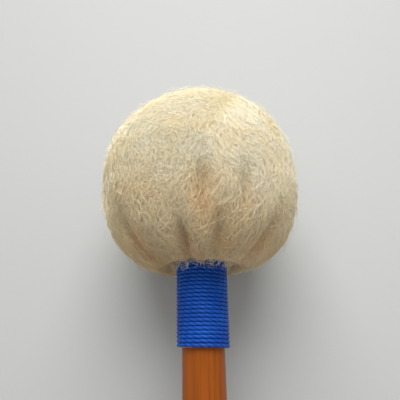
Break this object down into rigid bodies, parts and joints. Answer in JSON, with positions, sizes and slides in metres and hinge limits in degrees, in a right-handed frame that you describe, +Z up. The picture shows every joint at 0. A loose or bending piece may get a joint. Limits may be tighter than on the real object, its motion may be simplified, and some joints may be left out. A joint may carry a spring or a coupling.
{
  "type": "timpani mallet",
  "caption": "Timpani mallet with a round fleece-covered head, a thread-bound neck and a tapered cane shaft with an end cap, lying on its side.",
  "frame": {"origin": "centre of the bounding box, on the surface that the mallet lies on", "axes": "+Y along the mallet towards the head, +Z up, +X across"},
  "size_m": [0.051, 0.3718, 0.0506],
  "materials": {
    "cane": "orange-brown lacquered cane, satin, with fine straight fibres along it",
    "rubber": "dark matt rubber",
    "hardwood": "bare turned hardwood",
    "felt": "dense off-white wool felt",
    "fleece": "fluffy cream wool fleece, with long soft fibres",
    "thread": "tightly wound blue thread with a soft sheen"
  },
  "bodies": {
    "root": {"bamboo_shaft": "cane", "end_cap": "rubber", "core_dowel": "hardwood", "head_core": "hardwood", "inner_felt_crown": "felt", "inner_felt_base": "felt", "inner_felt_band": "felt", "fleece_cover": "fleece", "neck_binding": "thread"}
  },
  "joints": []
}
